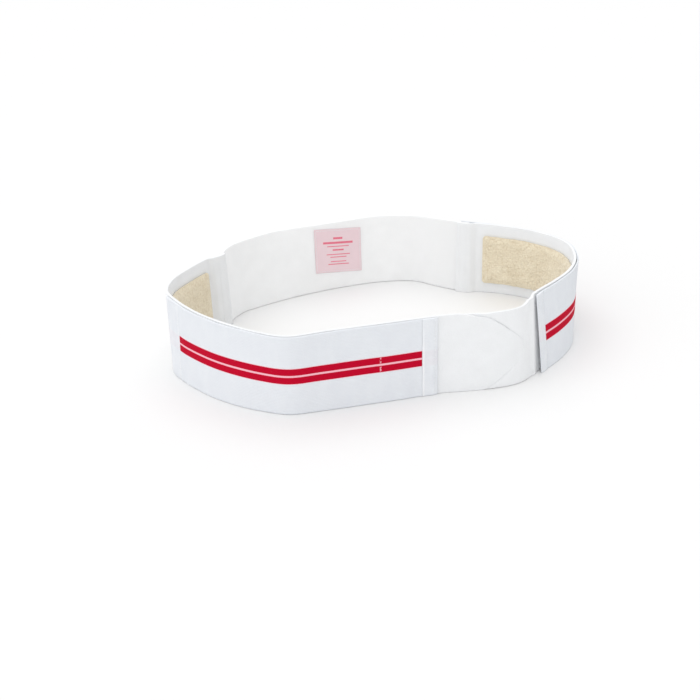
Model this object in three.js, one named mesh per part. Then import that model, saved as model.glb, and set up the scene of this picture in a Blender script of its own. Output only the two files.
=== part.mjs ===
// A pelvic support belt, fastened into its loop and standing on its lower edge.
// Two wings are sewn to a back panel and close in front with a clipped tab over a hook patch.
// An elastic strap with a hem at each end lies on the outside of each wing, and a soft pad inside.
// Millimetres, +Z up, +X to the right and +Y towards the back panel.
import * as THREE from "three";

// Driving sizes of the belt
const LOOP_WIDTH = 380;
const LOOP_DEPTH = 298;
const BELT_HEIGHT = 75;
const BELT_WALL = 2.4;
const BACK_LENGTH = 307;
const GAP = 0.3;

// Seams between the back panel and the wings
const SEAM_LAP = 12;
const SEAM_JOG = 8;

// Front closure
const CLOSURE_OVERLAP = 85;
const CLOSURE_JOG = 26;
const TAB_CLIP_LENGTH = 38;
const TAB_CLIP_HEIGHT = 29;
const TAB_DROP = 5;
const UNDERLAP_RISE = 0.5;
const UNDERLAP_DROP = 2;
const HOOK_WALL = 1;
const HOOK_LENGTH = 38;
const HOOK_HEIGHT = 50;

// Elastic straps. A lift is how far a strap's end stands off the belt.
const STRAP_HEIGHT = 74.5;
const STRAP_WALL = 1.5;
const HEM_WALL = 2.1;
const LEFT_STRAP_LENGTH = 283;
const RIGHT_STRAP_LENGTH = 270.5;
const TAB_BARE = 80;
const SIDE_HEM = 26;
const LEFT_FRONT_HEM = 14;
const RIGHT_FRONT_HEM = 12;
const REAR_HEM = 14;
const REAR_OVER_SEAM = 11;
const FRONT_LIFT_LOW = 4.2;
const FRONT_LIFT_HIGH = 1.6;
const REAR_LIFT_LOW = 0.5;
const REAR_LIFT_HIGH = 3;
const LIFT_LENGTH = 70;

// Pads and label
const PAD_LENGTH = 165;
const PAD_HEIGHT = 52;
const PAD_FROM_TOP = 12;
const PAD_WALL = 3;
const LEFT_PAD_TO_SEAM = 11;
const RIGHT_PAD_TO_SEAM = 15;
const LABEL_LENGTH = 52;
const LABEL_HEIGHT = 48.5;
const LABEL_WALL = 1;
const LABEL_SHIFT = -4.5;
const LABEL_TILT = 5;
const LABEL_FROM_TOP = 7.5;

// Length of one facet along the loop
const FACET = 6;
const FACETS_UP = 2;

// The loop seen from above, against the clock from the middle of the back panel. It is the line that
// the belt's outer face follows. side and depth are shares of LOOP_WIDTH and LOOP_DEPTH from the
// loop's middle, and lean is how far the upper edge stands out over the lower one, a share of
// BELT_HEIGHT.
const OUTLINE = [
  { side: -0.104, depth: 0.442, lean: -0.01 },
  { side: -0.176, depth: 0.406, lean: 0.03 },
  { side: -0.253, depth: 0.362, lean: 0.10 },
  { side: -0.318, depth: 0.305, lean: 0.07 },
  { side: -0.356, depth: 0.262, lean: 0.05 },
  { side: -0.380, depth: 0.209, lean: 0.05 },
  { side: -0.392, depth: 0.161, lean: 0.03 },
  { side: -0.426, depth: 0.122, lean: 0.02 },
  { side: -0.464, depth: 0.044, lean: 0.03 },
  { side: -0.496, depth: -0.046, lean: 0.03 },
  { side: -0.503, depth: -0.136, lean: 0.01 },
  { side: -0.480, depth: -0.213, lean: -0.04 },
  { side: -0.429, depth: -0.304, lean: -0.03 },
  { side: -0.359, depth: -0.391, lean: -0.02 },
  { side: -0.272, depth: -0.462, lean: 0.03 },
  { side: -0.204, depth: -0.494, lean: 0.06 },
  { side: -0.122, depth: -0.472, lean: 0.03 },
  { side: -0.004, depth: -0.437, lean: 0.02 },
  { side: 0.128, depth: -0.398, lean: 0.03 },
  { side: 0.259, depth: -0.378, lean: 0.00 },
  { side: 0.328, depth: -0.344, lean: -0.03 },
  { side: 0.374, depth: -0.263, lean: -0.08 },
  { side: 0.436, depth: -0.173, lean: -0.09 },
  { side: 0.482, depth: -0.076, lean: -0.03 },
  { side: 0.502, depth: 0.035, lean: 0.05 },
  { side: 0.494, depth: 0.162, lean: 0.07 },
  { side: 0.439, depth: 0.276, lean: -0.02 },
  { side: 0.339, depth: 0.353, lean: -0.01 },
  { side: 0.248, depth: 0.389, lean: 0.05 },
  { side: 0.187, depth: 0.437, lean: 0.04 },
  { side: 0.124, depth: 0.486, lean: -0.02 },
  { side: 0.022, depth: 0.491, lean: 0.01 },
];

// The place of the tab's tip, as a share of the loop's whole length from the middle of the back panel
const TAB_TIP_AT = 0.5862;

const outline = new THREE.CatmullRomCurve3(
  OUTLINE.map((row) => new THREE.Vector3(
    row.side * LOOP_WIDTH,
    row.depth * LOOP_DEPTH,
    row.lean * BELT_HEIGHT,
  )),
  true,
);
outline.arcLengthDivisions = 3000;
const GIRTH = outline.getLength();
const LEFT_SEAM = BACK_LENGTH / 2;
const RIGHT_SEAM = GIRTH - BACK_LENGTH / 2;
const TAB_TIP = TAB_TIP_AT * GIRTH;

// The point that lies out millimetres outside the outline and up millimetres above the ground, at
// along millimetres from the middle of the back panel.
function place(along, out, up) {
  const share = THREE.MathUtils.euclideanModulo(along / GIRTH, 1);
  const point = outline.getPointAt(share);
  const way = outline.getTangentAt(share).setZ(0).normalize();
  const leaning = out + point.z * (up / BELT_HEIGHT - 0.5);
  return new THREE.Vector3(point.x + way.y * leaning, point.y - way.x * leaning, up);
}

// 0 up to from, 1 after to, and a soft rise between them
function ease(value, from, to) {
  return THREE.MathUtils.smoothstep(value, from, to);
}

// A closed wall from one place along the loop to another. outer, lower and upper are numbers or
// functions of the place along the loop, and outer may use the share of the height too.
function wall(name, colour, roughness, from, to, { outer, thickness, lower, upper }) {
  const at = (value, ...where) => (typeof value === "function" ? value(...where) : value);
  const steps = Math.max(2, Math.ceil((to - from) / FACET));
  const shape = new THREE.BoxGeometry(1, 1, 1, steps, 1, FACETS_UP);
  const points = shape.getAttribute("position");
  for (let i = 0; i < points.count; i += 1) {
    const along = THREE.MathUtils.lerp(from, to, points.getX(i) + 0.5);
    const share = points.getZ(i) + 0.5;
    const inward = (points.getY(i) + 0.5) * thickness;
    const up = THREE.MathUtils.lerp(at(lower, along), at(upper, along), share);
    const bent = place(along, at(outer, along, share) - inward, up);
    points.setXYZ(i, bent.x, bent.y, bent.z);
  }
  shape.computeVertexNormals();
  const material = new THREE.MeshStandardMaterial({ color: colour, roughness, metalness: 0 });
  const mesh = new THREE.Mesh(shape, material);
  mesh.name = name;
  return mesh;
}

const WHITE = 0xeaedf1;
const CREAM = 0xe0d2ae;
const PINK = 0xe4cbd4;
const HOOK_WHITE = 0xf2f3f4;
const CLOTH_ROUGHNESS = 0.9;

function backPanel() {
  return wall("back_panel", WHITE, CLOTH_ROUGHNESS, -LEFT_SEAM, LEFT_SEAM, {
    outer: 0,
    thickness: BELT_WALL,
    lower: 0,
    upper: BELT_HEIGHT,
  });
}

// How far a wing lies inside the outline near its seam, where it laps inside the back panel
function seamInset(beyondSeam) {
  return (BELT_WALL + GAP) * (1 - ease(beyondSeam, 1, 1 + SEAM_JOG));
}

// How much the tab's clipped corner takes off its height near the tip
function tabClip(along) {
  const share = THREE.MathUtils.clamp((TAB_TIP - along) / TAB_CLIP_LENGTH, 0, 1);
  return TAB_CLIP_HEIGHT * (1 - share) ** 1.25;
}

// The left wing goes round the left side and the front, and ends in the clipped tab of the closure.
function leftWing() {
  const tabStart = TAB_TIP - TAB_CLIP_LENGTH;
  const drop = (along) => TAB_DROP * ease(along, tabStart - CLOSURE_JOG, tabStart);
  return wall("left_wing", WHITE, CLOTH_ROUGHNESS, LEFT_SEAM - SEAM_LAP, TAB_TIP, {
    outer: (along) => -seamInset(along - LEFT_SEAM),
    thickness: BELT_WALL,
    lower: (along) => tabClip(along),
    upper: (along) => BELT_HEIGHT - drop(along) - tabClip(along),
  });
}

// The right wing goes under the tab, behind the hook patch.
const UNDERLAP_INSET = BELT_WALL + HOOK_WALL + 2 * GAP;
const UNDERLAP_END = TAB_TIP - CLOSURE_OVERLAP;

function rightWing() {
  const clear = TAB_TIP + GAP;
  const raised = (along) => 1 - ease(along, clear, clear + CLOSURE_JOG);
  return wall("right_wing", WHITE, CLOTH_ROUGHNESS, UNDERLAP_END, RIGHT_SEAM + SEAM_LAP, {
    outer: (along) => -UNDERLAP_INSET * raised(along) - seamInset(RIGHT_SEAM - along),
    thickness: BELT_WALL,
    lower: (along) => UNDERLAP_RISE * raised(along),
    upper: (along) => BELT_HEIGHT - UNDERLAP_DROP * raised(along),
  });
}

function closureHook() {
  const end = TAB_TIP - TAB_CLIP_LENGTH;
  const middle = (BELT_HEIGHT - TAB_DROP) / 2;
  return wall("closure_hook", HOOK_WHITE, CLOTH_ROUGHNESS, end - HOOK_LENGTH, end, {
    outer: -BELT_WALL - GAP,
    thickness: HOOK_WALL,
    lower: middle - HOOK_HEIGHT / 2,
    upper: middle + HOOK_HEIGHT / 2,
  });
}

function pad(name, from, to) {
  return wall(name, CREAM, 1, from, to, {
    outer: -BELT_WALL - GAP,
    thickness: PAD_WALL,
    lower: BELT_HEIGHT - PAD_FROM_TOP - PAD_HEIGHT,
    upper: BELT_HEIGHT - PAD_FROM_TOP,
  });
}

function label() {
  const middle = LABEL_SHIFT;
  const tilt = (along) => ((along - middle) / LABEL_LENGTH) * LABEL_TILT;
  const top = BELT_HEIGHT - LABEL_FROM_TOP;
  return wall("label", PINK, 0.7, middle - LABEL_LENGTH / 2, middle + LABEL_LENGTH / 2, {
    outer: -BELT_WALL - GAP,
    thickness: LABEL_WALL,
    lower: (along) => top - LABEL_HEIGHT + tilt(along),
    upper: (along) => top + tilt(along),
  });
}

// A strap is an elastic band between two thicker hems, which it meets with a small gap. A hem has
// its name, its length along the loop and how far its lower and upper edges stand off the belt.
function strap(name, start, end, startHem, endHem) {
  const lifted = (along, share, tip, hem) => {
    const near = THREE.MathUtils.clamp(1 - Math.abs(along - tip) / LIFT_LENGTH, 0, 1);
    return THREE.MathUtils.lerp(hem.liftLow, hem.liftHigh, share) * near ** 2;
  };
  const inner = (along, share) =>
    GAP + lifted(along, share, start, startHem) + lifted(along, share, end, endHem);
  const band = (part, from, to, thickness) =>
    wall(name + part, WHITE, CLOTH_ROUGHNESS, from, to, {
      outer: (along, share) => inner(along, share) + thickness,
      thickness,
      lower: 0,
      upper: STRAP_HEIGHT,
    });
  return [
    band(startHem.name, start, start + startHem.length - GAP, HEM_WALL),
    band("", start + startHem.length, end - endHem.length, STRAP_WALL),
    band(endHem.name, end - endHem.length + GAP, end, HEM_WALL),
  ];
}

function leftStrap() {
  const end = TAB_TIP - TAB_BARE;
  return strap(
    "left_strap",
    end - LEFT_STRAP_LENGTH,
    end,
    { name: "_side_hem", length: SIDE_HEM, liftLow: 0, liftHigh: 0 },
    { name: "_front_hem", length: LEFT_FRONT_HEM, liftLow: 0, liftHigh: 0 },
  );
}

function rightStrap() {
  const lifts = { liftLow: FRONT_LIFT_LOW, liftHigh: FRONT_LIFT_HIGH };
  const end = RIGHT_SEAM + REAR_OVER_SEAM;
  return strap(
    "right_strap",
    end - RIGHT_STRAP_LENGTH,
    end,
    { name: "_front_hem", length: RIGHT_FRONT_HEM, ...lifts },
    { name: "_rear_hem", length: REAR_HEM, liftLow: REAR_LIFT_LOW, liftHigh: REAR_LIFT_HIGH },
  );
}

const belt = new THREE.Group();
belt.name = "pelvic_support_belt";
belt.add(backPanel(), leftWing(), rightWing(), closureHook(), label());
const LEFT_PAD_EDGE = LEFT_SEAM + LEFT_PAD_TO_SEAM;
const RIGHT_PAD_EDGE = RIGHT_SEAM - RIGHT_PAD_TO_SEAM;
belt.add(pad("left_pad", LEFT_PAD_EDGE, LEFT_PAD_EDGE + PAD_LENGTH));
belt.add(pad("right_pad", RIGHT_PAD_EDGE - PAD_LENGTH, RIGHT_PAD_EDGE));
belt.add(...leftStrap(), ...rightStrap());

// The origin is the middle of the space that the belt takes on the ground.
const middle = new THREE.Box3().setFromObject(belt).getCenter(new THREE.Vector3());
belt.position.set(-middle.x, -middle.y, 0);

export default belt;
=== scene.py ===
"""A pelvic support belt fastened into its loop: white brushed cloth, elastic straps with a red
double stripe, cream looped pads and a sewn label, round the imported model. Metres."""
import math

import bpy
import numpy as np
from mathutils import Matrix, Vector

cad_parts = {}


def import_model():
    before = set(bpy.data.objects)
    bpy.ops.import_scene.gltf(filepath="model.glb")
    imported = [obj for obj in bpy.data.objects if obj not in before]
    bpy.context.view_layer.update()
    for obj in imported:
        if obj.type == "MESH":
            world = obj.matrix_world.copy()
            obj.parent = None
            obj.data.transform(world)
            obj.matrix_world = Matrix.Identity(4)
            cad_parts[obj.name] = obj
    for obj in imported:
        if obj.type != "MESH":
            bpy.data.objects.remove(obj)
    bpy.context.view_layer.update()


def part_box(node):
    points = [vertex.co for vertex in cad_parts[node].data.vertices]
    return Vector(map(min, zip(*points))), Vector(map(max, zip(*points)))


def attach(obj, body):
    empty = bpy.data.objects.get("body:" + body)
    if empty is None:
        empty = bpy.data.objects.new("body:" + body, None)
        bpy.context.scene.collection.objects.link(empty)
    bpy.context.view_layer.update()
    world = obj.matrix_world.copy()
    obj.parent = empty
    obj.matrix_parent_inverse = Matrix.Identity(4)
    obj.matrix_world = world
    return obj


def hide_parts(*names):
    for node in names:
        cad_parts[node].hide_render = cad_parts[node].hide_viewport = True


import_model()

MM = 0.001

# Sizes of the belt, the same as in the source of its solids
LOOP_WIDTH = 380 * MM
LOOP_DEPTH = 298 * MM
BELT_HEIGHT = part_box("back_panel")[1][2]
STRAP_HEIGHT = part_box("left_strap")[1][2]
BELT_WALL = 2.4 * MM
GAP = 0.3 * MM
BACK_LENGTH = 307 * MM
SEAM_LAP = 12 * MM
SEAM_JOG = 8 * MM
TAB_TIP_AT = 0.5862
TAB_CLIP_LENGTH = 38 * MM
TAB_CLIP_HEIGHT = 29 * MM
TAB_CLIP_CURVE = 1.25
TAB_DROP = 5 * MM
CLOSURE_OVERLAP = 85 * MM
CLOSURE_JOG = 26 * MM
UNDERLAP_RISE = 0.5 * MM
UNDERLAP_DROP = 2 * MM
HOOK_WALL = 1 * MM
HOOK_LENGTH = 38 * MM
STRAP_WALL = 1.5 * MM
HEM_WALL = 2.1 * MM
LEFT_STRAP_LENGTH = 283 * MM
RIGHT_STRAP_LENGTH = 270.5 * MM
TAB_BARE = 80 * MM
SIDE_HEM = 26 * MM
LEFT_FRONT_HEM = 14 * MM
RIGHT_FRONT_HEM = 12 * MM
REAR_HEM = 14 * MM
REAR_OVER_SEAM = 11 * MM
FRONT_LIFT = (4.2 * MM, 1.6 * MM)
REAR_LIFT = (0.5 * MM, 3 * MM)
LIFT_LENGTH = 70 * MM
PAD_LENGTH = 165 * MM
PAD_WALL = 3 * MM
LEFT_PAD_TO_SEAM = 11 * MM
RIGHT_PAD_TO_SEAM = 15 * MM
LABEL_LENGTH = 52 * MM
LABEL_HEIGHT = 48.5 * MM
LABEL_SHIFT = -4.5 * MM
LABEL_TILT = 5 * MM
LABEL_FROM_TOP = 7.5 * MM

# The stripe woven into the straps: two red bands with a pale line between them
STRIPE_BAND = 6.3 * MM
STRIPE_LINE = 1.8 * MM
STRIPE_RELIEF = 0.14 * MM

# The right strap's stripe runs this much under its middle
RIGHT_STRIPE_DROP = 2.5 * MM

# Where the bent cloth bulges in front of the right strap's free end
BULGE_AT = 639 * MM
BULGE_WIDTH = 4.5 * MM
BULGE_RISE = 1.4 * MM
CREASE_AT = 632.5 * MM
CREASE_WIDTH = 1.3 * MM
CREASE_DEPTH = 0.45 * MM

# The pull in the left strap's stripe
NICK_AT = 489 * MM

# The loop seen from above, against the clock from the middle of the back panel: side and depth as
# shares of LOOP_WIDTH and LOOP_DEPTH, and the lean of the wall as a share of BELT_HEIGHT.
OUTLINE = [
    (-0.104, 0.442, -0.01),
    (-0.176, 0.406, 0.03),
    (-0.253, 0.362, 0.10),
    (-0.318, 0.305, 0.07),
    (-0.356, 0.262, 0.05),
    (-0.380, 0.209, 0.05),
    (-0.392, 0.161, 0.03),
    (-0.426, 0.122, 0.02),
    (-0.464, 0.044, 0.03),
    (-0.496, -0.046, 0.03),
    (-0.503, -0.136, 0.01),
    (-0.480, -0.213, -0.04),
    (-0.429, -0.304, -0.03),
    (-0.359, -0.391, -0.02),
    (-0.272, -0.462, 0.03),
    (-0.204, -0.494, 0.06),
    (-0.122, -0.472, 0.03),
    (-0.004, -0.437, 0.02),
    (0.128, -0.398, 0.03),
    (0.259, -0.378, 0.00),
    (0.328, -0.344, -0.03),
    (0.374, -0.263, -0.08),
    (0.436, -0.173, -0.09),
    (0.482, -0.076, -0.03),
    (0.502, 0.035, 0.05),
    (0.494, 0.162, 0.07),
    (0.439, 0.276, -0.02),
    (0.339, 0.353, -0.01),
    (0.248, 0.389, 0.05),
    (0.187, 0.437, 0.04),
    (0.124, 0.486, -0.02),
    (0.022, 0.491, 0.01),
]


def centripetal(rows, per_row=120):
    """A closed centripetal Catmull-Rom curve through the rows, as many points."""
    points = np.array(rows) * (LOOP_WIDTH, LOOP_DEPTH, BELT_HEIGHT)
    a, b, c, d = (np.roll(points, shift, axis=0) for shift in (1, 0, -1, -2))
    steps = [np.sum((q - p) ** 2, axis=1)[:, None] ** 0.25 for p, q in ((a, b), (b, c), (c, d))]
    before, here, after = steps
    leaving = ((b - a) / before - (c - a) / (before + here) + (c - b) / here) * here
    arriving = ((c - b) / here - (d - b) / (here + after) + (d - c) / after) * here
    w = (np.arange(per_row) / per_row)[None, :, None]
    b, c, leaving, arriving = (x[:, None, :] for x in (b, c, leaving, arriving))
    square = 3 * (c - b) - 2 * leaving - arriving
    cube = 2 * (b - c) + leaving + arriving
    return (b + leaving * w + square * w**2 + cube * w**3).reshape(-1, 3)


def ease(value, start, end):
    """0 up to start, 1 from end on, with a soft rise between them."""
    share = np.clip((value - start) / (end - start), 0, 1)
    return share * share * (3 - 2 * share)


def bell(distance, width):
    return np.exp(-((distance / width) ** 2))


def lumps(across, up, seed, around=64):
    """Smooth noise from -1 to 1, one lump a unit, that repeats after around units across."""
    grid = np.random.default_rng(seed).uniform(-1, 1, (around, 64))
    i, j = np.floor(across).astype(int), np.floor(up).astype(int)
    u, v = (t * t * (3 - 2 * t) for t in (across - i, up - j))
    corner = lambda di, dj: grid[(i + di) % around, (j + dj) % 64]
    low = corner(0, 0) * (1 - u) + corner(1, 0) * u
    high = corner(0, 1) * (1 - u) + corner(1, 1) * u
    return low * (1 - v) + high * v


class Loop:
    """The outline as a curve by its length, with the wall's lean and its soft waves."""

    WAVES = ((22, 60 * MM, 0.45 * MM, 3), (47, 38 * MM, 0.13 * MM, 4))

    def __init__(self):
        curve = centripetal(OUTLINE)
        self.points = np.vstack([curve, curve[:1]])
        lengths = np.linalg.norm(np.diff(self.points, axis=0), axis=1)
        self.at = np.concatenate([[0], np.cumsum(lengths)])
        self.girth = self.at[-1]
        self.shift = np.zeros(2)

    def point(self, along):
        """Plan position and lean at each place along the loop."""
        wrapped = np.mod(along, self.girth)
        return np.stack([np.interp(wrapped, self.at, self.points[:, i]) for i in range(3)], -1)

    def wave(self, along, up):
        share = np.mod(along, self.girth) / self.girth
        return sum(
            rise * lumps(share * count, up / tall, seed, count)
            for count, tall, rise, seed in self.WAVES
        )

    def place(self, along, out, up, wavy=True):
        """The points out metres outside the outline and up metres above the ground."""
        along, out, up = np.broadcast_arrays(along, out, up)
        reach = 0.6 * MM
        here = self.point(along)
        way = (self.point(along + reach) - self.point(along - reach))[..., :2]
        way /= np.linalg.norm(way, axis=-1, keepdims=True)
        leaning = out + here[..., 2] * (up / BELT_HEIGHT - 0.5)
        if wavy:
            leaning = leaning + self.wave(along, up)
        x = here[..., 0] + way[..., 1] * leaning + self.shift[0]
        y = here[..., 1] - way[..., 0] * leaning + self.shift[1]
        return np.stack([x, y, up], -1)

    def seat(self, node):
        """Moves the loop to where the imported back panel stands."""
        along, out, up = np.meshgrid(
            np.linspace(-BACK_LENGTH / 2, BACK_LENGTH / 2, 400), (0, -BELT_WALL), (0, BELT_HEIGHT)
        )
        mine = self.place(along, out, up, wavy=False).reshape(-1, 3)
        low, high = (np.array(corner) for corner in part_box(node))
        self.shift = ((low + high - mine.min(0) - mine.max(0)) / 2)[:2]


loop = Loop()
loop.seat("back_panel")
LEFT_SEAM = BACK_LENGTH / 2
RIGHT_SEAM = loop.girth - BACK_LENGTH / 2
TAB_TIP = TAB_TIP_AT * loop.girth


def mesh_object(name, points, faces, uv=None):
    mesh = bpy.data.meshes.new(name)
    mesh.from_pydata(np.asarray(points).reshape(-1, 3).tolist(), [], np.asarray(faces).tolist())
    mesh.polygons.foreach_set("use_smooth", np.ones(len(mesh.polygons), dtype=bool))
    if uv is not None:
        layer = mesh.uv_layers.new(name="cloth")
        corner = np.empty(len(mesh.loops), dtype=np.int32)
        mesh.loops.foreach_get("vertex_index", corner)
        layer.data.foreach_set("uv", np.asarray(uv, dtype=np.float32)[corner].ravel())
    mesh.update()
    piece = bpy.data.objects.new(name, mesh)
    bpy.context.scene.collection.objects.link(piece)
    return piece


# The step between points round a fine place, and how far to each side of it they reach
FINE_STEP = 0.45 * MM
FINE_REACH = 3 * MM


def places(start, end, step, fine=(), fine_step=FINE_STEP, reach=FINE_REACH):
    """Even places from start to end, closer together round each place in fine."""
    spots = [np.linspace(start, end, max(3, round((end - start) / step) + 1))]
    for spot in fine:
        low, high = max(start, spot - reach), min(end, spot + reach)
        keep = (spots[0] < low) | (spots[0] > high)
        keep[0] = keep[-1] = True
        spots[0] = spots[0][keep]
        spots.append(np.linspace(low, high, max(2, round((high - low) / fine_step) + 1)))
    joined = np.sort(np.concatenate(spots))
    return joined[np.concatenate([[True], np.diff(joined) > 0.02 * MM])]


# The turns of a rounded edge, from the face to its rim
ROUND = np.linspace(0, math.pi / 2, 5)


def cloth_wall(
    name, start, end, outer, thickness, lower, upper, *, step=1.4 * MM, rise=1.6 * MM, edge=0.45,
    ends=(0.45, 0.45), relief=None, rim=0.0, fine=(), fine_up=(),
):
    """A closed cloth wall along the loop, with rounded edges and ends.

    outer, lower and upper are numbers or functions of the place along the loop, and outer also of
    the height. relief(along, up, side) raises the outer face, side 1, or the inner face, side -1,
    and rim is the share of it that reaches the rounded edges.
    edge and ends say how round the edges and ends are, as shares of the thickness below a half.
    fine and fine_up are places along and heights that get more points.
    """
    at = lambda value, *where: value(*where) if callable(value) else value
    first, last = (share * thickness for share in ends)
    along = np.concatenate([
        start + first * (1 - np.cos(ROUND)),
        places(start + first, end - last, step, fine)[1:-1],
        (end - last * (1 - np.cos(ROUND)))[::-1],
    ])
    lost, turned = np.zeros(len(along)), np.zeros(len(along))
    turned[: len(ROUND)] = 1 - np.sin(ROUND)
    turned[-len(ROUND):] = (1 - np.sin(ROUND))[::-1]
    lost[: len(ROUND)] = first * turned[: len(ROUND)]
    lost[-len(ROUND):] = last * turned[-len(ROUND):]
    middle = (start + end) / 2
    tall = np.max(at(upper, middle) - at(lower, middle))
    fine_shares = [up / tall for up in fine_up]
    level = places(0, 1, rise / tall, fine_shares, FINE_STEP / tall, FINE_REACH / tall)
    corner = edge * thickness
    bottom = [(0, -math.cos(t), 1 - math.sin(t)) for t in ROUND[:-1]]
    top = [(1, math.cos(t), 1 - math.sin(t)) for t in ROUND[:-1][::-1]]
    face = bottom + [(share, 0.0, 0.0) for share in level] + top
    share, bulge, sunk = (np.array(column) for column in zip(*face))
    share, bulge, sunk = (np.concatenate([x, x[::-1]])[None, :] for x in (share, bulge, sunk))
    side = np.repeat([1, -1], len(face))[None, :]
    a = np.broadcast_to(along[:, None], (len(along), side.size))
    low, high = (np.broadcast_to(at(x, along), along.shape)[:, None] for x in (lower, upper))
    up = low + corner + (high - low - 2 * corner) * share + bulge * corner
    half = thickness / 2 - np.maximum(lost[:, None], corner * sunk)
    out = at(outer, a, up) - thickness / 2 + side * half
    if relief is not None:
        reach = 1 - (1 - rim) * np.maximum(turned[:, None], sunk)
        out = out + side * relief(a, up, side) * reach
    n, m = a.shape
    i, j = np.meshgrid(np.arange(n - 1), np.arange(m), indexing="ij")
    following = (j + 1) % m
    sides = np.stack([i * m + j, (i + 1) * m + j, (i + 1) * m + following, i * m + following], -1)
    k = np.arange(len(face) - 1)
    cap = np.stack([k, k + 1, m - 2 - k, m - 1 - k], -1)
    faces = np.vstack([sides.reshape(-1, 4), cap, (n - 1) * m + cap[:, ::-1]])
    return mesh_object(name, loop.place(a, out, up), faces, np.stack([a, up], -1).reshape(-1, 2))


def dress(piece, material, node):
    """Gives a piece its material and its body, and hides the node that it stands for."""
    piece.data.materials.append(material)
    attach(piece, "root")
    if node:
        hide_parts(node)
    return piece


class Shading:
    """A material's nodes by short calls."""

    def __init__(self, name, colour, roughness, sheen, specular=0.25):
        self.material = bpy.data.materials.new(name)
        self.material.use_nodes = True
        self.tree = self.material.node_tree
        self.shader = self.tree.nodes["Principled BSDF"]
        self.set("Base Color", (*colour, 1))
        self.set("Roughness", roughness)
        self.set("Sheen Weight", sheen)
        self.set("Sheen Roughness", 0.5)
        self.set("Specular IOR Level", specular)

    def set(self, socket, value):
        self.join(value, self.shader.inputs[socket])

    def join(self, value, socket):
        if isinstance(value, bpy.types.NodeSocket):
            self.tree.links.new(value, socket)
        else:
            socket.default_value = value

    def add(self, kind, inputs, output=0, **settings):
        node = self.tree.nodes.new("ShaderNode" + kind)
        for key, value in settings.items():
            setattr(node, key, value)
        for key, value in inputs.items():
            self.join(value, node.inputs[key])
        return node.outputs[output]

    def math(self, operation, *values):
        return self.add("Math", dict(enumerate(values)), operation=operation)

    def cloth_places(self):
        """The place along the loop and the height of each point, in metres."""
        where = self.add("UVMap", {}, uv_map="cloth")
        return where, *(self.add("SeparateXYZ", {0: where}, output=i) for i in (0, 1))

    def noise(self, size, detail=2.0, stretch=(1, 1, 1)):
        """Noise from 0 to 1 with lumps of that size in metres."""
        where = self.add("TexCoord", {}, output=3)
        where = self.add("Mapping", {"Vector": where, "Scale": stretch})
        return self.add("TexNoise", {"Vector": where, "Scale": 1 / size, "Detail": detail})

    def cells(self, size, where):
        """Distance to the middle of each cell of that size in metres, about 0 to 1."""
        return self.add("TexVoronoi", {"Vector": where, "Scale": 1 / size})

    def ripple(self, value, pitch):
        """A wave from -1 to 1 as value grows, one each pitch."""
        return self.math("SINE", self.math("MULTIPLY", value, 2 * math.pi / pitch))

    def blend(self, share, first, second):
        """Colours or sockets mixed by share."""
        colour = lambda x: x if isinstance(x, bpy.types.NodeSocket) else (*x, 1)
        return self.add("MixRGB", {"Fac": share, "Color1": colour(first), "Color2": colour(second)})

    def span(self, value, low, high, to=(0.0, 1.0)):
        """value from low to high, as a number from to[0] to to[1]."""
        inputs = {"Value": value, 1: low, 2: high, 3: to[0], 4: to[1]}
        return self.add("MapRange", inputs, clamp=True)

    def bump(self, height, distance, strength=1.0, below=None):
        """A normal bent by the height in metres of distance, over the normal below."""
        inputs = {"Height": height, "Distance": distance, "Strength": strength}
        if below is not None:
            inputs["Normal"] = below
        return self.add("Bump", inputs)


# The back panel's white is painted lighter and the wings' white darker: lit and shaded copies of
# one cloth.
BACK_PAINTED_LIT_WHITE = (0.925, 0.932, 0.938)
WING_PAINTED_SHADE_WHITE = (0.84, 0.852, 0.866)
ELASTIC_WHITE = (0.775, 0.80, 0.835)
ELASTIC_SHADE = (0.75, 0.775, 0.815)
STRIPE_RED = (0.60, 0.002, 0.026)
STRIPE_DARK_RED = (0.44, 0.002, 0.022)
STRIPE_PINK = (0.95, 0.38, 0.47)
HEM_WHITE = (0.81, 0.83, 0.86)
# A pale line painted down a hem's edge: painted highlight
PAINTED_HIGHLIGHT_WHITE = (0.88, 0.89, 0.91)
# The terry's low pits are painted darker than its tips: painted shade
TERRY_TIP = (0.865, 0.785, 0.615)
TERRY_PIT_SHADE = (0.67, 0.57, 0.41)
LABEL_PINK = (0.86, 0.67, 0.71)
LABEL_RED = (0.78, 0.10, 0.18)
THREAD_WHITE = (0.86, 0.87, 0.88)
THREAD_CREAM = (0.80, 0.70, 0.50)
HOOK_WHITE = (0.84, 0.85, 0.86)
HOOK_DUST = (0.74, 0.75, 0.76)
FLOOR_WHITE = (0.82, 0.82, 0.82)


def brushed_cloth(name, white, painted_shade_span=None):
    """White brushed loop cloth: a short nap in faint wales, with soft mottling.

    The last argument, where given, holds the place along the loop where the painted shade is
    darkest and where the cloth is first left unshaded.
    """
    s = Shading(name, white, 0.92, 0.30)
    where, along, up = s.cloth_places()
    mottle = s.noise(14 * MM, 3.0)
    nap = s.noise(0.55 * MM, 4.0, stretch=(1, 1, 0.6))
    shade = s.math("MULTIPLY_ADD", nap, 0.45, s.math("MULTIPLY", mottle, 0.55))
    ground = s.blend(s.span(shade, 0.40, 0.62), tuple(0.97 * x for x in white), white)
    # Painted shade: the cloth darkens towards the first place given
    if painted_shade_span is not None:
        share = s.span(along, *painted_shade_span, (1.0, 0.0))
        ground = s.blend(share, ground, tuple(0.90 * x for x in white))
    s.set("Base Color", ground)
    wale = s.ripple(up, 1.3 * MM)
    loops = s.math("SUBTRACT", 1.0, s.cells(0.8 * MM, where))
    knit = s.math("MULTIPLY_ADD", wale, 0.25, loops)
    s.set("Normal", s.bump(knit, 0.08 * MM, below=s.bump(nap, 0.16 * MM)))
    s.set("Roughness", s.span(mottle, 0.3, 0.7, (0.86, 0.97)))
    return s.material


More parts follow.
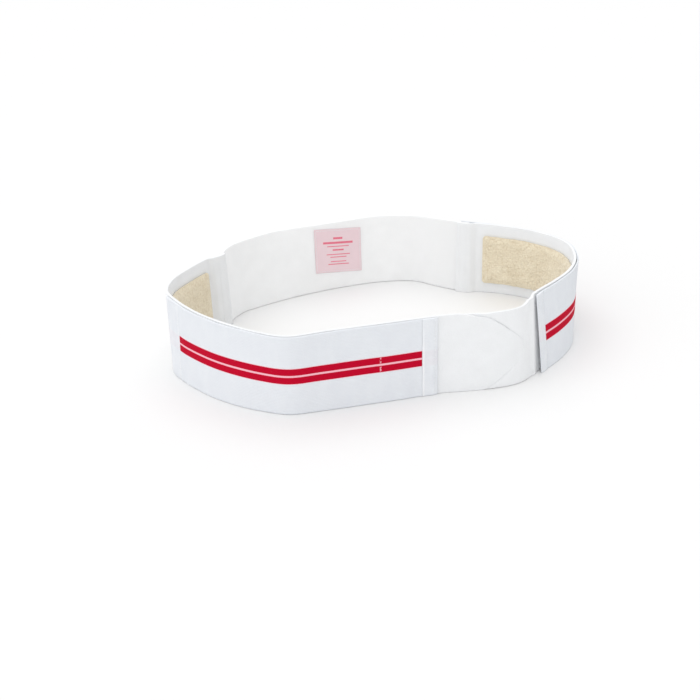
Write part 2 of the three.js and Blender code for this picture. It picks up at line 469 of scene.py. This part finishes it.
def stripe_mask(s, up, drop):
    """Shares of red and of the pink beside it at each point of a strap."""
    wander = s.noise(1.2 * MM, 2.0, stretch=(1, 1, 0.4))
    middle = s.math("SUBTRACT", up, STRAP_HEIGHT / 2 - drop)
    middle = s.math("MULTIPLY_ADD", wander, 0.30 * MM, s.math("SUBTRACT", middle, 0.15 * MM))
    off = s.math("ABSOLUTE", middle)
    line, rim = STRIPE_LINE / 2, STRIPE_LINE / 2 + STRIPE_BAND
    inside = s.span(off, line - 0.15 * MM, line + 0.15 * MM)
    red = s.math("MULTIPLY", inside, s.span(off, rim - 0.12 * MM, rim + 0.18 * MM, (1.0, 0.0)))
    pink = s.span(off, rim, rim + 0.9 * MM, (1.0, 0.0))
    return red, pink


def strap_cloth(name, red_share, pink_share, white, shade, drop=0.0, nick=False, edge=None):
    """Ribbed elastic with the woven double stripe, at the given strength.

    nick tears the stripe at NICK_AT, and edge is the place along the loop of a painted highlight, a
    pale line down a hem's edge.
    """
    s = Shading(name, white, 0.88, 0.01, 0.04)
    where, along, up = s.cloth_places()
    red, pink = stripe_mask(s, up, drop)
    mottle = s.noise(9 * MM, 3.0, stretch=(1, 1, 0.5))
    thread = s.noise(0.5 * MM, 3.0)
    tone = s.math("MULTIPLY_ADD", thread, 0.4, s.math("MULTIPLY", mottle, 0.6))
    ground = s.blend(s.span(tone, 0.38, 0.62), shade, white)
    twill = s.ripple(s.math("ADD", along, s.math("MULTIPLY", up, 0.8)), 1.1 * MM)
    depth = s.span(s.math("MULTIPLY_ADD", twill, 0.18, thread), 0.35, 0.7)
    crimson = s.blend(depth, STRIPE_DARK_RED, STRIPE_RED)
    colour = s.blend(s.math("MULTIPLY", pink, pink_share), ground, STRIPE_PINK)
    share = s.math("MULTIPLY", red, red_share)
    if nick:
        pulled = s.span(s.math("ABSOLUTE", s.math("SUBTRACT", along, NICK_AT)), 0.3 * MM, 0.9 * MM)
        torn = s.span(s.noise(1.6 * MM), 0.50, 0.60, (1.0, 0.25))
        share = s.math("MULTIPLY", share, s.math("MAXIMUM", pulled, torn))
    dyed = s.blend(share, colour, crimson)
    # Painted highlight: a pale line, strongest low down, where the hem's edge catches the light
    if edge is not None:
        near = s.math("ABSOLUTE", s.math("SUBTRACT", along, edge))
        line = s.span(near, 0.2 * MM, 0.9 * MM, (1.0, 0.0))
        line = s.math("MULTIPLY", line, s.span(up, 44 * MM, 66 * MM, (0.9, 0.0)))
        dyed = s.blend(line, dyed, PAINTED_HIGHLIGHT_WHITE)
    s.set("Base Color", dyed)
    rib = s.ripple(up, 1.45 * MM)
    weft = s.ripple(along, 0.9 * MM)
    weave = s.math("MULTIPLY_ADD", weft, 0.35, s.math("MULTIPLY_ADD", thread, 0.5, rib))
    s.set("Normal", s.bump(weave, 0.055 * MM, below=s.bump(thread, 0.10 * MM)))
    s.set("Roughness", s.span(share, 0.0, 1.0, (0.90, 0.72)))
    return s.material


def terry_cloth():
    """Cream looped pile: pale tips, and painted shade that makes the low pits darker and browner.
    """
    s = Shading("pad_terry", TERRY_TIP, 0.95, 0.35, 0.1)
    pile = s.add("Attribute", {}, output=2, attribute_name="pile")
    fuzz = s.noise(0.7 * MM, 4.0)
    patch = s.noise(16 * MM, 2.0)
    # Painted shade: the pile's height darkens the low pits, mixed with random tone
    fine = s.math("MULTIPLY_ADD", fuzz, 0.6, s.math("MULTIPLY", pile, 0.4))
    tone = s.math("MULTIPLY_ADD", patch, 0.3, fine)
    s.set("Base Color", s.blend(s.span(tone, 0.40, 0.90), TERRY_PIT_SHADE, TERRY_TIP))
    s.set("Normal", s.bump(fuzz, 0.30 * MM))
    return s.material


# Plain rules of the label: height from its middle, length and thickness
LABEL_RULES = [
    (14 * MM, 10 * MM, 2.4 * MM),
    (9 * MM, 33 * MM, 2.4 * MM),
    (5 * MM, 24 * MM, 1.0 * MM),
    (1 * MM, 12 * MM, 1.8 * MM),
    (-4 * MM, 26 * MM, 1.0 * MM),
    (-7 * MM, 18 * MM, 1.0 * MM),
    (-12 * MM, 17 * MM, 1.0 * MM),
    (-15 * MM, 23 * MM, 1.0 * MM),
]


def satin_ribbon():
    """Pale pink woven satin with plain red rules in place of its print."""
    s = Shading("label_satin", LABEL_PINK, 0.45, 0.15, 0.45)
    where, along, up = s.cloth_places()
    middle = BELT_HEIGHT - LABEL_FROM_TOP - LABEL_HEIGHT / 2
    sideways = s.math("SUBTRACT", along, LABEL_SHIFT)
    across = s.math("ABSOLUTE", sideways)
    tilt = s.math("MULTIPLY", sideways, LABEL_TILT / LABEL_LENGTH)
    height = s.math("SUBTRACT", s.math("SUBTRACT", up, middle), tilt)
    ink = None
    for level, long, thick in LABEL_RULES:
        off = s.math("ABSOLUTE", s.math("SUBTRACT", height, level))
        row = s.span(off, thick / 2 - 0.1 * MM, thick / 2 + 0.1 * MM, (1.0, 0.0))
        bar = s.math("MULTIPLY", row, s.span(across, long / 2, long / 2 + 0.3 * MM, (1.0, 0.0)))
        ink = bar if ink is None else s.math("MAXIMUM", ink, bar)
    thread = s.noise(0.4 * MM, 2.0)
    worn = s.math("MULTIPLY", ink, s.span(thread, 0.3, 0.6, (0.70, 0.95)))
    ground = s.blend(s.noise(8 * MM, 2.0), tuple(0.94 * x for x in LABEL_PINK), LABEL_PINK)
    s.set("Base Color", s.blend(worn, ground, LABEL_RED))
    weave = s.math("MULTIPLY_ADD", s.ripple(along, 0.5 * MM), 0.4, s.ripple(up, 0.35 * MM))
    s.set("Normal", s.bump(weave, 0.02 * MM, 0.8))
    s.set("Roughness", s.span(worn, 0.0, 1.0, (0.42, 0.60)))
    return s.material


def hook_tape():
    """White moulded hooks, close together in rows."""
    s = Shading("hook_tape", HOOK_WHITE, 0.6, 0.0, 0.4)
    where, along, up = s.cloth_places()
    hooks = s.math("MULTIPLY", s.ripple(along, 1.6 * MM), s.ripple(up, 1.6 * MM))
    dust = s.noise(3 * MM, 3.0)
    s.set("Base Color", s.blend(dust, HOOK_DUST, HOOK_WHITE))
    s.set("Normal", s.bump(hooks, 0.4 * MM))
    return s.material


def sewing_thread(name, colour):
    s = Shading(name, colour, 0.6, 0.1, 0.4)
    twist = s.noise(0.25 * MM, 2.0)
    s.set("Base Color", s.blend(twist, tuple(0.93 * x for x in colour), colour))
    s.set("Normal", s.bump(twist, 0.05 * MM))
    return s.material


# The back panel darkens with painted shade towards its right seam
back_cloth = brushed_cloth("back_cloth", BACK_PAINTED_LIT_WHITE, (-BACK_LENGTH / 2, -60 * MM))
wing_cloth = brushed_cloth("wing_cloth", WING_PAINTED_SHADE_WHITE)
left_elastic = strap_cloth("left_elastic", 1.0, 0.75, ELASTIC_WHITE, ELASTIC_SHADE, nick=True)
right_elastic = strap_cloth(
    "right_elastic", 1.0, 0.75, ELASTIC_WHITE, ELASTIC_SHADE, RIGHT_STRIPE_DROP
)
LEFT_STRAP_END = TAB_TIP - TAB_BARE
RIGHT_STRAP_END = RIGHT_SEAM + REAR_OVER_SEAM
# Where the painted highlight runs down the left front hem, beside its joint with the elastic
PAINTED_HIGHLIGHT_AT = LEFT_STRAP_END - LEFT_FRONT_HEM + 1.2 * MM
hem_tape = strap_cloth("hem_tape", 0.015, 0.03, HEM_WHITE, ELASTIC_SHADE, edge=PAINTED_HIGHLIGHT_AT)
terry = terry_cloth()
satin = satin_ribbon()
hooks = hook_tape()
white_thread = sewing_thread("white_thread", THREAD_WHITE)
cream_thread = sewing_thread("cream_thread", THREAD_CREAM)

STITCH_RADIUS = 0.2 * MM
STITCH_RISE = 0.28 * MM
STITCH_SIDES = 6
STITCH_RINGS = 7

# A seam's stitches stop this far from the cloth's edges
SEAM_END = 1.5 * MM


def seam_lines(rows, height):
    """A line of stitches up the cloth at each place along the loop."""
    return [[(row, SEAM_END), (row, height - SEAM_END)] for row in rows]


def ring_lines(corners):
    """The four sides of a patch, from its corners in order."""
    return [[corner, corners[(k + 1) % 4]] for k, corner in enumerate(corners)]


def stitch_rows(name, rows, out, facing, material, stitch=2.6 * MM, pitch=3.3 * MM):
    """Sewn stitches along rows of (along, up) corners, each a small arch that dips into the cloth.

    out(along, up) is the face that they lie on and facing is 1 outside the loop or -1 inside.
    """
    points, faces = [], []
    bend = np.linspace(0, 1, STITCH_RINGS)
    turn = np.arange(STITCH_SIDES) * math.tau / STITCH_SIDES
    i, j = np.meshgrid(np.arange(STITCH_RINGS - 1), np.arange(STITCH_SIDES), indexing="ij")
    near, far = i * STITCH_SIDES, (i + 1) * STITCH_SIDES
    following = (j + 1) % STITCH_SIDES
    ring = np.stack([near + j, near + following, far + following, far + j], -1).reshape(-1, 4)
    last = STITCH_SIDES * (STITCH_RINGS - 1)
    caps = np.array([(0, 5, 4, 3), (0, 3, 2, 1)])
    far_caps = last + np.array([(0, 1, 2, 3), (0, 3, 4, 5)])
    stitch_faces = np.vstack([ring, caps, far_caps])
    thin = STITCH_RADIUS * np.sin(math.pi * (0.12 + 0.76 * bend)) ** 0.5
    for row in rows:
        row = np.array(row)
        legs = np.linalg.norm(np.diff(row, axis=0), axis=1)
        reached = np.concatenate([[0], np.cumsum(legs)])
        count = max(1, int((reached[-1] - stitch) / pitch) + 1)
        first = (reached[-1] - stitch - (count - 1) * pitch) / 2
        for k in range(count):
            at = first + k * pitch + stitch * bend
            along, up = (np.interp(at, reached, row[:, i]) for i in (0, 1))
            way = np.array([along[-1] - along[0], up[-1] - up[0]])
            way /= max(np.linalg.norm(way), 1e-9)
            arch = STITCH_RISE * np.sin(math.pi * bend) - 0.5 * STITCH_RADIUS
            wide = thin[:, None] * np.cos(turn)
            tall = arch[:, None] + thin[:, None] * np.sin(turn)
            a = along[:, None] - way[1] * wide
            h = up[:, None] + way[0] * wide
            base = sum(len(p) for p in points)
            points.append(loop.place(a, out(a, h) + facing * tall, h).reshape(-1, 3))
            faces.append(stitch_faces + base)
    faces = np.vstack(faces)
    if facing < 0:
        faces = faces[:, ::-1]
    return dress(mesh_object(name, np.vstack(points), faces), material, None)


def seam_inset(beyond_seam):
    """How far a wing lies inside the loop's line, all of the lap and none past the step."""
    return (BELT_WALL + GAP) * (1 - ease(beyond_seam, 1 * MM, 1 * MM + SEAM_JOG))


def tab_clip(along):
    """How much is cut off the tab's lower and upper edge there."""
    share = np.clip((TAB_TIP - along) / TAB_CLIP_LENGTH, 0, 1)
    return TAB_CLIP_HEIGHT * (1 - share) ** TAB_CLIP_CURVE


# Rows of stitches at each seam, from the back panel's end inwards
SEAM_ROWS = (3 * MM, 9 * MM)
GROOVE = 0.14 * MM
GROOVE_WIDTH = 1.1 * MM


def grooves(along, rows):
    """The cloth's relief where rows of stitches draw it in."""
    return -GROOVE * sum(bell(along - row, GROOVE_WIDTH) for row in rows)


def back_panel():
    rows = [side * (LEFT_SEAM - row) for side in (-1, 1) for row in SEAM_ROWS]
    piece = cloth_wall(
        "back_panel_cloth", -LEFT_SEAM, LEFT_SEAM, 0, BELT_WALL, 0, BELT_HEIGHT,
        relief=lambda a, up, side: grooves(a, rows), fine=rows,
    )
    dress(piece, back_cloth, "back_panel")
    stitches = stitch_rows(
        "back_panel_stitches", seam_lines(rows, BELT_HEIGHT), lambda a, up: -GROOVE + 0 * a, 1,
        white_thread,
    )


# The tab is pressed thin from inside towards its edge, and the layer under it rises to meet it
TAB_EDGE = 0.1
TAB_EDGE_LOSS = 1.85 * MM
TAB_EDGE_WIDTH = 9 * MM
TAB_START = TAB_TIP - TAB_CLIP_LENGTH
PRESS_GAP = 0.15 * MM

# How far the layer under the tab rises round it, at its lower and its upper edge
UNDERLAP_STEP = (0.66 * MM, 0.55 * MM)


def tab_lower(along):
    return tab_clip(along)


def tab_upper(along):
    dropped = TAB_DROP * ease(along, TAB_START - CLOSURE_JOG, TAB_START)
    return BELT_HEIGHT - dropped - tab_clip(along)


def inside_tab(along, up):
    """How far a point lies inside the tab's outline, less than 0 outside it."""
    at = np.minimum(along, TAB_TIP)
    beyond = np.maximum(along - TAB_TIP, 0)
    within = np.minimum(up - tab_lower(at), tab_upper(at) - up)
    ahead = TAB_TIP - at
    outside = np.hypot(np.minimum(within, 0), beyond)
    return np.where((within > 0) & (beyond == 0), np.minimum(within, ahead), -outside)


def tab_pressed(along, up):
    """How much thinner the tab is there than the belt."""
    near_edge = 1 - ease(inside_tab(along, up), 0, TAB_EDGE_WIDTH)
    return TAB_EDGE_LOSS * near_edge * ease(along, TAB_START - 12 * MM, TAB_START + 4 * MM)


def hook_span():
    """The hook tape's start and end along the loop, and its lowest and highest point."""
    low, high = (corner[2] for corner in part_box("closure_hook"))
    end = TAB_TIP - TAB_CLIP_LENGTH / 2
    return end - HOOK_LENGTH, end, low, high


def over_hook(along, up):
    """1 over the hook tape, 0 from a few millimetres outside it."""
    start, end, low, high = hook_span()
    margin = np.minimum.reduce([along - start, end - along, up - low, high - up])
    return ease(margin, -5 * MM, -1 * MM) * ease(inside_tab(along, up), 0.5 * MM, 3 * MM)


def wing(name, start, end, outer, lower, upper, *, relief, rows, stitched, ends):
    """One side of the belt, with the stitches of its seam on the inner face."""
    piece = cloth_wall(
        name + "_cloth", start, end, outer, BELT_WALL, lower, upper, edge=TAB_EDGE, ends=ends,
        relief=relief, rim=1.0, fine=rows,
    )
    dress(piece, wing_cloth, name)
    inner = lambda a, up: outer(a, up) - BELT_WALL + GROOVE
    lines = seam_lines(rows, BELT_HEIGHT)
    stitches = stitch_rows(stitched, lines, inner, -1, white_thread)


def left_wing():
    rows = [LEFT_SEAM - row for row in SEAM_ROWS]
    relief = lambda a, up, side: (side < 0) * (grooves(a, rows) - tab_pressed(a, up))
    wing(
        "left_wing", LEFT_SEAM - SEAM_LAP, TAB_TIP,
        lambda a, up: -seam_inset(a - LEFT_SEAM), tab_lower, tab_upper,
        relief=relief, rows=rows, stitched="left_seam_stitches", ends=(0.3, TAB_EDGE),
    )


def right_wing():
    raised = lambda a: 1 - ease(a, TAB_TIP + GAP, TAB_TIP + GAP + CLOSURE_JOG)
    rows = [RIGHT_SEAM + row for row in SEAM_ROWS]

    def outer(a, up):
        """The face that meets the tab and the hook tape, then comes out to the loop's line."""
        touching = -BELT_WALL - PRESS_GAP + tab_pressed(a, up)
        under_hook = -BELT_WALL - HOOK_WALL - 2 * GAP
        pressed = touching + (under_hook - touching) * over_hook(a, up)
        low_step, high_step = UNDERLAP_STEP
        step = low_step + (high_step - low_step) * up / BELT_HEIGHT
        stepped = step * ease(-inside_tab(a, up), 0.2 * MM, 2.5 * MM)
        bulge = BULGE_RISE * bell(a - BULGE_AT, BULGE_WIDTH)
        crease = CREASE_DEPTH * bell(a - CREASE_AT, CREASE_WIDTH) * ease(up, 0, BELT_HEIGHT)
        return (pressed + stepped) * raised(a) + bulge - crease - seam_inset(RIGHT_SEAM - a)

    wing(
        "right_wing", TAB_TIP - CLOSURE_OVERLAP, RIGHT_SEAM + SEAM_LAP, outer,
        lambda a: UNDERLAP_RISE * raised(a), lambda a: BELT_HEIGHT - UNDERLAP_DROP * raised(a),
        relief=lambda a, up, side: grooves(a, rows) * (side < 0), rows=rows,
        stitched="right_seam_stitches", ends=(0.3, 0.3),
    )


def closure_hook():
    start, end, low, high = hook_span()
    inset = 3 * MM
    rough = lambda a, up, side: 0.1 * MM * lumps(a / (2 * MM), up / (2 * MM), 9) * (side < 0)
    piece = cloth_wall(
        "closure_hook_tape", start, end, -BELT_WALL - GAP, HOOK_WALL,
        lambda a: np.maximum(low, tab_lower(a) + inset),
        lambda a: np.minimum(high, tab_upper(a) - inset),
        relief=rough,
    )
    return dress(piece, hooks, "closure_hook")


def strap_lift(along, up, start, end, start_lift, end_lift):
    """How far the strap's inner face stands off the belt, from its loose ends."""
    share = up / STRAP_HEIGHT
    total = GAP
    for tip, (low, high) in ((start, start_lift), (end, end_lift)):
        near = np.clip(1 - np.abs(along - tip) / LIFT_LENGTH, 0, 1)
        total = total + (low + (high - low) * share) * near**2
    return total


# How much thinner a hem's free tip is, the elastic's waves, and the cord woven in by its edges
HEM_TIP_LOSS = 0.6 * MM
WAVE_RISE = 0.22 * MM
CORD_RISE = 0.12 * MM
CORD_WIDTH = 1.0 * MM
CORD_INSET = 1.6 * MM


def strap(name, start, end, start_hem, end_hem, elastic, drop):
    """A strap and its two hems.

    A hem is (name, length, lift of its lower and upper edge, length over which it swells).
    """
    lift = lambda a, up: strap_lift(a, up, start, end, start_hem[2], end_hem[2])
    seam = 0.1 * MM
    hem_start, hem_end = start + start_hem[1], end - end_hem[1]

    def pucker(a):
        """The share of the elastic's short waves, none at its sewn ends."""
        reach = 14 * MM
        return ease(a, hem_start, hem_start + reach) * (1 - ease(a, hem_end - reach, hem_end))

    def face(a, up):
        wave = lumps(a / (17 * MM), up / (90 * MM), 11)
        return lift(a, up) + STRAP_WALL + WAVE_RISE * (1 + wave) * pucker(a)

    middle = STRAP_HEIGHT / 2 - drop
    line, rim = STRIPE_LINE / 2, STRIPE_LINE / 2 + STRIPE_BAND

    def stripe_relief(a, up, side):
        off, soft = np.abs(up - middle), 0.3 * MM
        on = ease(off, line - soft, line + soft) * (1 - ease(off, rim - soft, rim + soft))
        cord = bell(np.minimum(up, STRAP_HEIGHT - up) - CORD_INSET, CORD_WIDTH)
        return (side > 0) * (STRIPE_RELIEF * on + CORD_RISE * cord)

    rims = [middle + sign * off for sign in (-1, 1) for off in (line, rim)]
    cords = [CORD_INSET, STRAP_HEIGHT - CORD_INSET]
    piece = cloth_wall(
        name + "_elastic", hem_start + seam, hem_end - seam, face, STRAP_WALL, 0, STRAP_HEIGHT,
        ends=(0.03, 0.03), rise=1.2 * MM, relief=stripe_relief, fine_up=rims + cords,
    )
    dress(piece, elastic, name)

    hems = []
    for (part, length, _, swell), a, b, at_start in (
        (start_hem, start, hem_start, True), (end_hem, hem_end, end, False),
    ):
        joint, tip = (b, a) if at_start else (a, b)
        inward = 1 if at_start else -1
        rows = [tip + inward * 2.2 * MM, joint - inward * 2.2 * MM]

        def wall(x):
            swollen = ease(np.abs(x - joint), 0, swell)
            pressed = 1 - ease(np.abs(x - tip), 0, 5 * MM)
            return STRAP_WALL + (HEM_WALL - STRAP_WALL) * swollen - HEM_TIP_LOSS * pressed

        top = lambda x, up: lift(x, up) + wall(x)

        def hem_relief(x, up, side):
            return (side < 0) * (wall(x) - HEM_WALL) + (side > 0) * grooves(x, rows[:1])

        hem = cloth_wall(
            name + part + "_tape", a + seam * (not at_start), b - seam * at_start, top, HEM_WALL,
            0, STRAP_HEIGHT, ends=(0.3, 0.02) if at_start else (0.02, 0.3), edge=0.3, step=0.9 * MM,
            relief=hem_relief, rim=1.0, fine=rows,
        )
        dress(hem, hem_tape, name + part)
        stitches = stitch_rows(
            name + part + "_stitches", seam_lines(rows, STRAP_HEIGHT),
            lambda x, up: top(x, up) - GROOVE, 1, white_thread,
            stitch=2.1 * MM, pitch=2.7 * MM,
        )
        hems += [hem, stitches]


def nubs(along, up, pitch, seed):
    """Rounded nubs from 0 to 1 on a jittered grid."""
    rng = np.random.default_rng(seed)
    jitter = rng.uniform(-0.38, 0.38, (128, 128, 2))
    tall = rng.uniform(0.6, 1.0, (128, 128))
    x, y = along / pitch, up / pitch
    i, j = np.floor(x).astype(int), np.floor(y).astype(int)
    best = np.zeros(np.shape(x))
    for di in (-1, 0, 1):
        for dj in (-1, 0, 1):
            ci, cj = (i + di) % 128, (j + dj) % 128
            dx = x - (i + di + 0.5 + jitter[ci, cj, 0])
            dy = y - (j + dj + 0.5 + jitter[ci, cj, 1])
            best = np.maximum(best, tall[ci, cj] * np.clip(1 - (dx**2 + dy**2) / 0.7, 0, 1))
    return best


def cloth_map(piece):
    """The place along the loop and the height of each point of a cloth wall."""
    count = len(piece.data.loops)
    written = np.empty(2 * count, dtype=np.float32)
    piece.data.uv_layers["cloth"].data.foreach_get("uv", written)
    corner = np.empty(count, dtype=np.int32)
    piece.data.loops.foreach_get("vertex_index", corner)
    where = np.empty((len(piece.data.vertices), 2))
    where[corner] = written.reshape(-1, 2)
    return where[:, 0], where[:, 1]


PAD_CORNER = 3.5 * MM
PAD_SEAM = 2.4 * MM
NUB_PITCH = 2.3 * MM


def pad(name, a, b, pile, seed):
    """A terry pad from a to b along the loop, with its pile that high, sewn on round its edge."""
    low, high = (corner[2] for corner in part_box(name))

    def rounding(x):
        near = np.clip(PAD_CORNER - np.minimum(x - a, b - x), 0, PAD_CORNER)
        ragged = 0.3 * MM * lumps(x / (5 * MM), 0 * x, seed)
        return PAD_CORNER - np.sqrt(PAD_CORNER**2 - near**2) + 0.3 * MM + ragged

    def inside(x, up):
        return np.minimum(np.minimum(x - a, b - x), np.minimum(up - low, high - up))

    def nap(x, up):
        """The looped pile's nubs, about -0.5 to 0.5."""
        tufts = lumps(x / (5 * MM), up / (5 * MM), seed + 3)
        return 0.85 * (nubs(x, up, NUB_PITCH, seed + 2) - 0.55) + 0.12 * tufts

    def grown(x, up):
        return ease(inside(x, up), 0.4 * MM, 2 * MM)

    def pile_relief(x, up, side):
        """The pile on the inner face: crowned, drawn in at the seam round its edge, with nubs."""
        edge = inside(x, up)
        crown = -1.3 * MM * (1 - ease(edge, 0, 7 * MM))
        sewn = -0.08 * MM * bell(edge - PAD_SEAM, 1.1 * MM)
        swell = 0.3 * MM * lumps(x / (13 * MM), up / (13 * MM), seed + 1)
        return (side < 0) * (crown + sewn + (swell + pile * nap(x, up)) * grown(x, up))

    piece = cloth_wall(
        name + "_terry", a, b, -BELT_WALL - GAP, PAD_WALL,
        lambda x: low + rounding(x), lambda x: high - rounding(x),
        step=0.62 * MM, rise=0.62 * MM, relief=pile_relief,
    )
    along, up = cloth_map(piece)
    # The pile's height, which the terry's material turns into painted shade in the pits
    height = 0.5 + nap(along, up) * grown(along, up)
    piece.data.attributes.new("pile", "FLOAT", "POINT").data.foreach_set("value", height)
    dress(piece, terry, name)
    left, right = a + PAD_SEAM, b - PAD_SEAM
    bottom, top = low + PAD_SEAM, high - PAD_SEAM
    lines = ring_lines([(left, bottom), (right, bottom), (right, top), (left, top)])
    face = lambda x, up: -BELT_WALL - GAP - PAD_WALL + 1.35 * MM + 0 * x
    stitch_rows(name + "_stitches", lines, face, -1, cream_thread, 2.4 * MM, 3.2 * MM)


def label():
    top = BELT_HEIGHT - LABEL_FROM_TOP
    tilt = lambda a: (a - LABEL_SHIFT) / LABEL_LENGTH * LABEL_TILT
    a, b = LABEL_SHIFT - LABEL_LENGTH / 2, LABEL_SHIFT + LABEL_LENGTH / 2
    thin = 0.55 * MM
    back = -BELT_WALL - GAP
    wavy = lambda x, up: back - 0.1 * MM * (1 + lumps(x / (9 * MM), up / (9 * MM), 21))
    piece = cloth_wall(
        "label_satin", a, b, wavy, thin,
        lambda x: top - LABEL_HEIGHT + tilt(x), lambda x: top + tilt(x),
        step=0.9 * MM, rise=0.9 * MM, edge=0.4, ends=(0.4, 0.4),
    )
    dress(piece, satin, "label")
    inset = 1.6 * MM
    corner = lambda x, y: (x, y + tilt(x))
    low, high = top - LABEL_HEIGHT + inset, top - inset
    left, right = a + inset, b - inset
    lines = ring_lines([
        corner(left, low), corner(right, low), corner(right, high), corner(left, high),
    ])
    face = lambda x, up: wavy(x, up) - thin
    stitches = stitch_rows(
        "label_stitches", lines, face, -1, white_thread, 1.5 * MM, 2.0 * MM
    )


back_panel()
left_wing()
right_wing()
closure_hook()
label()
strap(
    "left_strap", LEFT_STRAP_END - LEFT_STRAP_LENGTH, LEFT_STRAP_END,
    ("_side_hem", SIDE_HEM, (0, 0), 14 * MM), ("_front_hem", LEFT_FRONT_HEM, (0, 0), 2 * MM),
    left_elastic, 0.0,
)
strap(
    "right_strap", RIGHT_STRAP_END - RIGHT_STRAP_LENGTH, RIGHT_STRAP_END,
    ("_front_hem", RIGHT_FRONT_HEM, FRONT_LIFT, 6 * MM), ("_rear_hem", REAR_HEM, REAR_LIFT, 6 * MM),
    right_elastic, RIGHT_STRIPE_DROP,
)
LEFT_PAD_EDGE = LEFT_SEAM + LEFT_PAD_TO_SEAM
RIGHT_PAD_EDGE = RIGHT_SEAM - RIGHT_PAD_TO_SEAM
pad("left_pad", LEFT_PAD_EDGE, LEFT_PAD_EDGE + PAD_LENGTH, 0.9 * MM, 30)
pad("right_pad", RIGHT_PAD_EDGE - PAD_LENGTH, RIGHT_PAD_EDGE, 1.2 * MM, 40)


def floor():
    size = 12.0
    points = [(-size, -size, 0), (size, -size, 0), (size, size, 0), (-size, size, 0)]
    piece = mesh_object("floor", points, [(0, 1, 2, 3)])
    piece.location.z = -0.2 * MM
    s = Shading("floor", FLOOR_WHITE, 0.7, 0.0, 0.1)
    piece.data.materials.append(s.material)


def sun(name, source, power, spread):
    """A soft light from the direction of source, spread degrees wide."""
    light = bpy.data.lights.new(name, "SUN")
    light.energy = power
    light.angle = math.radians(spread)
    lamp = bpy.data.objects.new(name, light)
    lamp.rotation_euler = (-Vector(source)).to_track_quat("-Z", "Y").to_euler()
    bpy.context.scene.collection.objects.link(lamp)


def camera():
    """The photograph's camera: its height, pitch, roll and focal length in pixels of 700."""
    place = Vector((-27.0, -1008.8, 474.0)) * MM
    pitch, roll = math.radians(25.65), math.radians(-2.04)
    ahead = Vector((0, math.cos(pitch), -math.sin(pitch)))
    across = Vector((1, 0, 0))
    above = across.cross(ahead)
    right = across * math.cos(roll) + above * math.sin(roll)
    top = above * math.cos(roll) - across * math.sin(roll)
    data = bpy.data.cameras.new("camera")
    data.sensor_width = 36.0
    focal_pixels, photo_pixels = 1150.5, 700
    data.lens = data.sensor_width * focal_pixels / photo_pixels
    eye = bpy.data.objects.new("camera", data)
    turn = Matrix((right, top, -ahead)).transposed()
    eye.matrix_world = Matrix.Translation(place) @ turn.to_4x4()
    bpy.context.scene.collection.objects.link(eye)
    bpy.context.scene.camera = eye


def world():
    """An even white sky, and colours shown as they are."""
    sky = bpy.data.worlds.new("sky")
    sky.use_nodes = True
    background = sky.node_tree.nodes["Background"].inputs
    background["Color"].default_value = (1, 1, 1, 1)
    background["Strength"].default_value = 0.82
    bpy.context.scene.world = sky
    bpy.context.scene.view_settings.view_transform = "Standard"


floor()
world()
sun("top_light", (-0.05, 0.25, 1.0), 0.85, 70)
sun("front_light", (-0.55, -0.85, 0.8), 0.76, 90)
camera()
